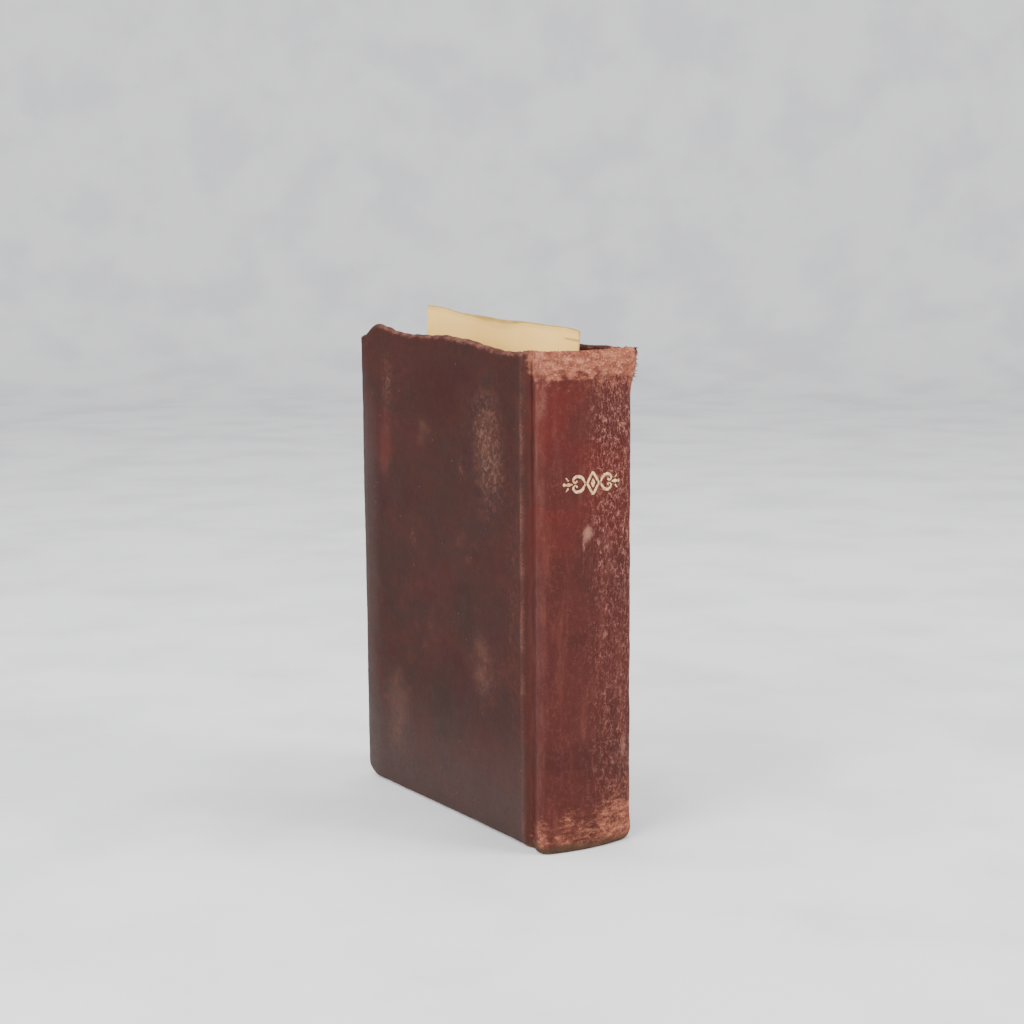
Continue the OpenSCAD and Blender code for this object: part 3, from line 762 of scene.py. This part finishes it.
def make_case():
    """The skin over the spine and the back cover, and the one over the front cover."""
    case = leather_piece("spine_and_back_leather", case_profile(), back_top, 1, FORE_EDGE_LEAN, True)
    bend_at_hinge(case)
    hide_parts("spine_leather", "back_cover_leather", "back_joint_leather")
    front = leather_piece("front_leather", front_profile(), front_top, -1, FRONT_LEAN, False)
    bend_at_hinge(front)
    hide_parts("front_cover_leather", "front_joint_leather")


# ---- Boards ----

BOARD_T = 1.2
BOARD_COVERED = 1.35


def make_board(side, top_of, lean):
    """Pulp board inside the leather, worn down along its upper edge where the cover dips."""
    word = SIDE_WORDS[side]
    y = np.linspace(COVER_START + 0.6, FORE_EDGE - BOARD_COVERED, 60)
    share = np.linspace(0, 1, 70)[:, None]
    top = top_of(np.maximum(y, RIDGE_Y + 1.5)) - BOARD_COVERED
    z = BOARD_COVERED + share * (top - BOARD_COVERED)[None]
    yy = np.broadcast_to(y, z.shape)
    yy, zz = corner_round(yy, z, y[-1], BOARD_COVERED, top[None], LOWER_CORNER_R - 1, UPPER_CORNER_R - 1)
    yy -= lean * (1 - zz / COVER_H) * smooth(FACE_START, FORE_EDGE, yy)
    x = side * (COVER_IN + HALF_T) / 2 * np.ones(yy.shape)
    obj = put(f"{word}_pulp_board", np.stack([x, yy, zz], -1), grid_faces(*yy.shape), BOARD)
    thicken(obj, BOARD_T, 0.0)
    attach(obj, f"{word}_cover")
    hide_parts(f"{word}_board")


# ---- Endpapers ----

def paper_sheet(name, y, z, x_of, thickness, age_of, z_of=None):
    """A sheet of endpaper over a grid of places, standing at the x that x_of gives."""
    yy, zz = np.meshgrid(y, z)
    if z_of is not None:
        zz = z_of(yy, zz)
    vertices = np.stack([x_of(yy, zz), yy, zz], -1)
    obj = put(name, vertices, grid_faces(*yy.shape), ENDPAPER, {"age": age_of(yy, zz).ravel()})
    return thicken(obj, thickness, 0.0)


PASTED_T = 0.1
FLYLEAF_T = 0.09
# Inner edge of the pasted-down paper, and its foot and head in the joint
GUTTER = -41.6
JOINT_PAPER = (2.8, 122.2)


def make_endpapers(side, top_of, lean):
    """The paper pasted to a board and into its joint, and the loose leaf beside it."""
    word = SIDE_WORDS[side]
    low, high = box_mm(f"{word}_pastedown")
    face = min(abs(low[0]), abs(high[0]))
    y = np.concatenate([np.linspace(GUTTER, RIDGE_Y, 34)[:-1], np.linspace(RIDGE_Y, high[1], 56)])
    z = np.linspace(low[2], high[2], 84)

    def z_of(yy, zz):
        """Narrower in the joint, so that it clears the turned-in leather at head and tail."""
        in_joint = smooth(-36.2, -37.3, yy)
        share = (zz - low[2]) / (high[2] - low[2])
        return zz + in_joint * (JOINT_PAPER[0] + share * (JOINT_PAPER[1] - JOINT_PAPER[0]) - zz)

    def x_of(yy, zz):
        """On the board, sunk between the turned-in edges, and out against the leather in the joint."""
        turned_in = RIM_COVER + FLAP_COVER
        flap_side = FORE_EDGE - turned_in - lean * (1 - zz / COVER_H)
        flap_top = top_of(np.maximum(yy, RIDGE_Y + 1.5)) - turned_in
        window = (smooth(flap_side - 0.3, flap_side - 1.8, yy)
                  * smooth(turned_in + 0.3, turned_in + 1.8, zz)
                  * smooth(flap_top - 0.3, flap_top - 1.8, zz))
        sunk = 0.22 * window * smooth(RIDGE_Y, RIDGE_Y + 2, yy)
        ripple = 0.03 * np.sin(yy / 6.0 + zz / 11.0) + 0.02 * np.sin(zz / 4.3 + 1.0)
        joint = (1.05 * smooth(-36.2, -38.4, yy) + 0.55 * smooth(-39.0, -40.9, yy)
                 - 1.45 * smooth(-41.1, -41.6, yy))
        return side * (face + sunk + ripple * window + joint)

    def age_of(yy, zz):
        border = np.minimum(np.minimum(zz - low[2], high[2] - zz), high[1] - yy)
        return 0.12 + 0.5 * smooth(7, 0, border) + 0.45 * bump(yy, -37.5, 2.0)

    paper = paper_sheet(f"{word}_pastedown_paper", y, z, x_of, PASTED_T, age_of, z_of)
    bend_at_hinge(paper)
    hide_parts(f"{word}_pastedown")

    low, high = box_mm(f"{word}_flyleaf")
    middle = (low[0] + high[0]) / 2
    y = np.linspace(low[1], high[1], 44)
    z = np.linspace(low[2], high[2], 60)

    def leaf_x(yy, zz):
        return middle + 0.025 * np.sin(yy / 7.0 + zz / 13.0)

    leaf = paper_sheet(f"{word}_flyleaf_paper", y, z, leaf_x, FLYLEAF_T, age_of)
    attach(leaf, f"{word}_flyleaf")
    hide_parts(f"{word}_flyleaf")


# ---- Pages ----

SIGNATURES = 20
SHEETS_PER_SIGNATURE = 8
# Width of the soiled border of each leaf
EDGE_SOIL = 5.0


def make_signature(k, draw):
    """A gathering of folded sheets, one inside the next, each slightly out of line with the others."""
    node = f"signature_{k:02d}"
    solid = np.array([v.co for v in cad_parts[node].data.vertices]) / MM
    low, high = solid.min(0), solid.max(0)
    middle = (low[0] + high[0]) / 2
    thickness = high[0] - low[0]
    fold_width = np.ptp(solid[solid[:, 1] < low[1] + 0.01][:, 0])
    full = solid[np.abs(solid[:, 0] - high[0]) < 0.001][:, 1].min() - low[1]
    depth = high[1] - low[1]
    layer = thickness / (2 * SHEETS_PER_SIGNATURE)
    shares = np.array([0.0, 0.006, 0.03, 0.06, 0.3, 0.6, 0.8])
    vertices, faces = [], []
    for q in range(SHEETS_PER_SIGNATURE):
        jitter = draw.uniform(-0.2, 0.2) * layer
        centre = thickness / 2 - (q + 0.5) * layer + jitter * (0 < q)
        tip = (q + 0.6) * layer * fold_width / thickness
        reach = [depth - abs(draw.gauss(0, 0.11)) for _ in (0, 1)]
        z0 = low[2] + abs(draw.gauss(0, 0.07))
        z1 = high[2] - abs(draw.gauss(0, 0.07))
        paper = 0.72 * layer
        skins = []
        for sign in (1, -1):
            offset = max(centre + sign * paper / 2, 0.004)
            start = tip - sign * paper * 0.4
            turn = max(offset * fold_width / thickness, 0.02)
            near = start + turn * np.array([1.0, 0.6, 0.25, 0.05])
            arms = []
            for arm, length in zip((-1, 1), reach):
                bends = [full + 2, full, full * 0.6, full * 0.3 + turn]
                r = np.concatenate([length * (1 - shares), bends, near])
                width = (fold_width + (thickness - fold_width) * np.clip(r / full, 0, 1)) / thickness
                close = np.sqrt(1 - (1 - np.clip((r - start) / turn, 0, 1)) ** 2)
                arms.append(np.stack([middle + arm * offset * width * close, low[1] + r], -1))
            skins.append(np.vstack([arms[0], [[middle, low[1] + start]], arms[1][::-1]]))
        loop = np.vstack([skins[0], skins[1][::-1]])
        count, size = len(skins[0]), len(loop)
        first = sum(len(v) for v in vertices)
        heights = (z0, z0 + 0.5, z0 + EDGE_SOIL, z1 - EDGE_SOIL, z1 - 0.5, z1)
        for height in heights:
            vertices.append(np.column_stack([loop, np.full(size, height)]))
        faces.extend(grid_faces(len(heights), size, first, closed=True))
        upper = first + (len(heights) - 1) * size
        for i in range(count - 1):
            a, b, c, d = i, i + 1, size - 2 - i, size - 1 - i
            faces += [[first + v for v in (d, c, b, a)], [upper + v for v in (a, b, c, d)]]
    points = np.vstack(vertices)
    border = np.minimum(np.minimum(high[1] - points[:, 1], high[2] - points[:, 2]), points[:, 2] - low[2])
    age = 0.04 + 0.4 * smooth(EDGE_SOIL, 0, border)
    marks = {"age": age, "edge": smooth(0.45, 0.15, border)}
    obj = put(f"{node}_leaves", points, faces, PAGE, marks, smooth_faces=False)
    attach(obj, node)
    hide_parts(node)


# ---- Card ----

CARD_PAPER_T = 0.13
# Half of the distance between the card's two leaves
CARD_HALF = 0.11
# The short crease near the head, by the spine: its height at CARD_CREASE_AT, and its slope
CARD_CREASE_Z = 126.8
CARD_CREASE_AT = -40.4
CARD_CREASE_SLOPE = 0.055
# The near leaf is worn lowest at this distance from the card's spine edge
CARD_WORN_AT = 36


def make_card():
    """A sheet folded once, standing between the pages. Its near leaf is worn lower along the middle."""
    solid = np.array([v.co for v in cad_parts["paper_card"].data.vertices]) / MM
    corner = solid[solid[:, 2].argmin()]
    far = solid[solid[:, 1].argmax()]
    across = far[1:] - corner[1:]
    width = np.linalg.norm(across)
    across /= width
    up = np.array([-across[1], across[0]])
    height = ((solid[:, 1:] - corner[1:]) @ up).max()
    fold = width - CARD_HALF
    u_leaf = np.concatenate([np.linspace(0, 9, 19)[:-1], np.linspace(9, fold, 46)])
    leaf = np.ones(len(u_leaf))
    bend = np.radians(np.linspace(-90, 90, 7)[1:-1])
    u = np.concatenate([u_leaf, fold + CARD_HALF * np.cos(bend), u_leaf[::-1]])
    x = CARD_HALF * np.concatenate([-leaf, np.sin(bend), leaf])
    near = np.concatenate([leaf, 0.5 - 0.5 * np.sin(bend), 0 * leaf])
    v = np.concatenate([np.linspace(0, 0.9, 12)[:-1], np.linspace(0.9, 0.96, 12)[:-1],
                        np.linspace(0.96, 1, 40)])
    edge = height - 0.5 + 0.3 * np.sin(u / 9.5 + 0.4) + 0.12 * np.sin(u / 3.1)
    edge = edge - 1.3 * near * bump(u, CARD_WORN_AT, 9) - 0.25 * near - 0.4 * smooth(0.9, 0, u)
    uu, vv = np.meshgrid(u, v)
    height_at = vv * edge[None]
    place = corner[1:] + uu[..., None] * across + height_at[..., None] * up
    free = smooth(PAGE_TOP + 0.5, CARD_TOP, place[..., 1])
    wave = 0.55 * np.sin(uu / 13 + 0.8) + 0.25 * np.sin(uu / 4.7)
    curl = free * (wave - 0.4 * (2 * near - 1)[None] * bump(uu, CARD_WORN_AT, 14))
    xx = x[None] + curl
    vertices = np.stack([xx, place[..., 0], place[..., 1]], -1)
    border = edge[None] - height_at
    crease_line = place[..., 1] - CARD_CREASE_Z - CARD_CREASE_SLOPE * (place[..., 0] - CARD_CREASE_AT)
    crease = 1.5 * bump(crease_line, 0, 0.2) * smooth(-33.2, -35.2, place[..., 0])
    # The far leaf is darker along its upper edge than the near leaf
    age = 0.35 * smooth(1.6, 0, border) + 0.8 * (1 - near)[None] * smooth(2.4, 0.2, border) + crease
    obj = put("folded_card", vertices, grid_faces(*uu.shape), CARD, {"age": np.clip(age, 0, 1).ravel()})
    thicken(obj, CARD_PAPER_T, 0.0)
    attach(obj, "card")
    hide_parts("paper_card")


# ---- Bands, sewing and tooling ----

def make_band(node):
    """Silk wound round a cord in two colours, along the arc of the folds."""
    low, high = box_mm(node)
    centre_z = (low[2] + high[2]) / 2
    core = (high[2] - low[2]) / 2
    half_width = high[0] - core * 0.3
    sag = (high[1] - low[1]) - 2 * core
    radius = (half_width ** 2 + sag ** 2) / (2 * max(sag, 0.1))
    turns, around, thread_sides = 46, 20, 8
    thread_r = half_width / turns * 1.04
    a, b = np.radians(np.meshgrid(np.linspace(0, 360, around, endpoint=False),
                                  np.linspace(0, 360, thread_sides, endpoint=False), indexing="ij"))
    a, b = a[..., None], b[..., None]
    vertices, faces = [], []
    ring_count = around * thread_sides
    # A winding is closed both ways, so the row after its last one is its first one again
    loop = grid_faces(around + 1, thread_sides, flip=True, closed=True) % ring_count
    for turn in range(turns):
        x = -half_width + (turn + 0.5) * 2 * half_width / turns
        lean = math.asin(x / radius)
        centre = np.array([x, low[1] + core + radius - radius * math.cos(lean), centre_z])
        along = np.array([math.cos(lean), math.sin(lean), 0])
        side = np.array([-math.sin(lean), math.cos(lean), 0])
        out = side * np.cos(a) + np.array([0, 0, 1]) * np.sin(a)
        winding = centre + out * (core - thread_r + thread_r * np.cos(b)) + along * thread_r * np.sin(b)
        faces.extend(len(vertices) + loop)
        vertices.extend(winding.reshape(-1, 3))
    second = np.repeat(np.arange(turns) // 2 % 2, ring_count)
    obj = put(f"{node}_silk", vertices, faces, SILK, {"second": second})
    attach(obj, "spine")
    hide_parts(node)


def on_spine(x, z, lift):
    """A place on the spine's skin, lift millimetres out of it."""
    x, z = np.asarray(x, float), np.asarray(z, float)
    y = SPINE_CY - np.sqrt(SPINE_R ** 2 - x ** 2)
    out = np.stack([x, y - SPINE_CY, np.zeros_like(x)], -1) / SPINE_R
    relief = leather_relief(x, y, z, np.full(x.shape, SPINE_H))
    return np.stack([x, y, z], -1) + (relief + lift)[..., None] * out


def stroke(points, widths):
    """A flat stroke of changing width through the given points, as rows of left, middle and right."""
    line = curve_through(points, 10)
    width = np.interp(np.linspace(0, 1, len(line)), np.linspace(0, 1, len(widths)), widths)[:, None]
    tangent = np.gradient(line, axis=0)
    tangent /= np.maximum(np.linalg.norm(tangent, axis=1), 1e-9)[:, None]
    across = np.stack([-tangent[:, 1], tangent[:, 0]], -1) * width / 2
    return np.stack([line - across, line, line + across], 1)


def make_ornament():
    """Gilt tooling on the spine: a lozenge between two pairs of scrolls, with leaves and dots."""
    low, high = box_mm("spine_ornament")
    cx, cz = (low[0] + high[0]) / 2, (low[2] + high[2]) / 2
    reach, rise = (high[0] - low[0]) / 2, (high[2] - low[2]) / 2
    diamond = [(0, rise), (rise * 0.62, 0), (0, -rise), (-rise * 0.62, 0), (0, rise)]
    scroll = [(2.3, 0.1), (3.2, 1.5), (4.7, 1.9), (5.7, 1.1), (5.2, 0.35), (4.5, 0.75)]
    lines = [((a, b), (0.5, 0.62, 0.5)) for a, b in zip(diamond[:-1], diamond[1:])]
    lines.append(([(0, 1.1), (0, -1.1)], (0.15, 1.2, 0.15)))
    for s in (-1, 1):
        for t in (-1, 1):
            lines.append(([(s * p, t * q) for p, q in scroll], (0.3, 0.75, 0.7, 0.5, 0.4, 0.5)))
            lines.append(([(s * 7.0, t * 0.9), (s * 7.7, t * 1.7)], (0.5, 0.2)))
        lines.append(([(s * 5.9, 0), (s * 7.0, 0), (s * (reach - 0.9), 0)], (0.2, 0.95, 0.2)))
        lines.append(([(s * (reach - 0.55), 0.4), (s * (reach - 0.55), -0.4)], (0.3, 0.75, 0.3)))
    # Every face looks out of the spine, whichever way its stroke runs
    vertices, faces = [], []
    for points, widths in lines:
        rows = stroke(points, widths)
        first = sum(len(v) for v in vertices)
        x, z = cx + rows[..., 0].ravel(), cz + rows[..., 1].ravel()
        vertices.append(on_spine(x, z, 0.035))
        quads = grid_faces(*rows.shape[:2], start=first)
        a, b, c = (vertices[-1][quads[0][i] - first] for i in (0, 1, 2))
        faces.append(quads[:, ::-1] if np.cross(b - a, c - a)[1] > 0 else quads)
    obj = put("spine_gilt", np.vstack(vertices), np.vstack(faces), GILT)
    thicken(obj, 0.12)
    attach(obj, "spine")
    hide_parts("spine_ornament")


# How many fibres there are, and the share of them at the corner
FIBRES = 110
CORNER_SHARE = 0.7


def make_fibres(draw):
    """Torn leather fibres round the head of the spine, longest at its front corner."""
    sides, segments = 5, 5
    around = np.radians(np.linspace(0, 360, sides, endpoint=False))[:, None]
    share = np.linspace(0, 1, segments + 1)[:, None]
    vertices, faces = [], []
    for _ in range(FIBRES):
        corner = draw.random() < CORNER_SHARE
        if corner:
            turn = math.radians(draw.uniform(-52, -12))
            z = draw.choice((122.3, 118.6, 124.4)) + draw.gauss(0, 0.9)
            z = min(z, SPINE_H - 0.2)
            facing = np.array([math.cos(turn), math.sin(turn), 0])
            root = np.array([SHOULDER_X, SHOULDER_Y, z]) + SHOULDER_R * facing
            relief = leather_relief(*(np.array([c]) for c in root), np.array([SPINE_H]))[0]
            root += (relief - 0.1) * facing
            length = draw.uniform(0.25, 0.85)
            heading = facing * draw.uniform(0.5, 1.0) + np.array([0, 0, draw.uniform(-0.9, 0.5)])
        else:
            root = on_spine(draw.uniform(-12, 12), SPINE_H - draw.uniform(0.0, 0.4), 0.02)
            length = draw.uniform(0.2, 0.6)
            heading = np.array([draw.uniform(-0.6, 0.6), draw.uniform(-0.8, 0.1), draw.uniform(-0.3, 0.7)])
        heading /= np.linalg.norm(heading)
        curl = np.array([draw.uniform(-1, 1) for _ in range(3)]) * 0.5
        across = np.cross(heading, [0.3, 0.2, 1.0])
        across /= np.linalg.norm(across)
        radius = draw.uniform(0.07, 0.17) if corner else draw.uniform(0.04, 0.08)
        line = root + length * (heading * share + curl * share ** 2)
        ring = radius * (across * np.cos(around) + np.cross(heading, across) * np.sin(around))
        first, last = len(vertices), len(vertices) + segments * sides
        vertices.extend((line[:, None] + (1 - 0.85 * share)[..., None] * ring).reshape(-1, 3))
        faces.extend(grid_faces(segments + 1, sides, first, closed=True))
        faces += [range(first + sides - 1, first - 1, -1), range(last, last + sides)]
    obj = put("frayed_fibres", vertices, faces, FIBRE)
    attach(obj, "spine")


def dress_cad():
    """Materials for the CAD pieces that stay as they are."""
    looks = {"spine_hollow": LINING, "spine_mull": MULL, "sewing_thread": THREAD}
    looks.update({n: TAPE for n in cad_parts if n.startswith("sewing_tape")})
    for node, material in looks.items():
        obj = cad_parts[node]
        obj.data.materials.clear()
        obj.data.materials.append(material)


# ---- Floor, light and camera ----

def stage_material():
    """Pale plaster with faint, broad patches."""
    s = Shader("pale_plaster", roughness=0.75, specular=0.2)
    place = s.node("NewGeometry").outputs["Position"]
    patches = s.node("TexNoise", {"Vector": place, "Scale": 1 / (60 * MM), "Detail": 5.0}).outputs["Fac"]
    return s.finish(s.mix(s.ramp(patches, 0.4, 0.68), "#ececed", "#dfdfe1"))


def make_stage():
    """A pale floor that rises into a pale wall all round, like a wide shallow bowl."""
    wall, bend, rise = 1500.0, 300.0, 1300.0
    turn = np.radians(np.linspace(0, 90, 14))
    curve = [(wall - bend + bend * math.sin(a), bend - bend * math.cos(a)) for a in turn]
    line = np.array([(0.01, 0.0), (400.0, 0.0), *curve, (wall, rise)])
    around = np.radians(np.linspace(0, 360, 73))
    vertices = [[r * math.cos(a), r * math.sin(a), h - 0.01] for r, h in line for a in around]
    obj = put("floor", vertices, grid_faces(len(line), len(around), flip=True), stage_material())


LIGHTS_AIM = (0, 0, 60)


def area_light(name, place, size, power, tint=(1, 1, 1)):
    """A rectangular lamp that looks at the middle of the book."""
    lamp = bpy.data.lights.new(name, "AREA")
    lamp.shape = "RECTANGLE"
    lamp.size, lamp.size_y = size[0] * MM, size[1] * MM
    lamp.energy = power
    lamp.color = tint
    obj = add(name, lamp)
    obj.location = Vector(place) * MM
    obj.rotation_euler = (Vector(LIGHTS_AIM) - Vector(place)).to_track_quat("-Z", "Y").to_euler()


def make_lights():
    """A warm key from the right, a cool fill from the left, a broad light above and a pale sky."""
    area_light("key", (560, -620, 520), (460, 460), 9.0, (1.0, 0.985, 0.965))
    area_light("fill", (-720, -200, 420), (600, 600), 9.0, (0.98, 0.985, 1.0))
    area_light("top", (0, 100, 1000), (900, 900), 8.0)
    world = bpy.data.worlds.new("soft_studio")
    world.use_nodes = True
    sky = world.node_tree.nodes["Background"].inputs
    sky["Color"].default_value = (0.96, 0.98, 1.0, 1)
    sky["Strength"].default_value = 0.7
    bpy.context.scene.world = world


# The camera: where it stands, its turn, how far it looks down and its roll, in degrees
VIEW_AZIMUTH = -33.12
VIEW_DOWN = 8.544
VIEW_ROLL = -0.32
CAMERA_PLACE = (-279.24, -438.2, 157.66)
FOCAL_LENGTH = 69.87


def make_camera():
    """Looks at the spine from the back cover's side, a little from above."""
    camera = bpy.data.cameras.new("camera")
    camera.sensor_width = 36.0
    camera.lens = FOCAL_LENGTH
    camera.clip_start, camera.clip_end = 0.01, 20.0
    obj = add("camera", camera)
    turn = Matrix.Rotation(math.radians(VIEW_AZIMUTH), 4, "Z") @ Matrix.Rotation(
        math.radians(90 - VIEW_DOWN), 4, "X") @ Matrix.Rotation(math.radians(VIEW_ROLL), 4, "Z")
    obj.matrix_world = Matrix.Translation(Vector(CAMERA_PLACE) * MM) @ turn
    bpy.context.scene.camera = obj


make_camera()
make_stage()
make_lights()
make_case()
make_board(1, front_top, FRONT_LEAN)
make_board(-1, back_top, FORE_EDGE_LEAN)
make_endpapers(1, front_top, FRONT_LEAN)
make_endpapers(-1, back_top, FORE_EDGE_LEAN)
shuffle = random.Random(7)
for number in range(1, SIGNATURES + 1):
    make_signature(number, shuffle)
make_card()
make_band("head_band")
make_band("tail_band")
make_ornament()
make_fibres(random.Random(23))
dress_cad()
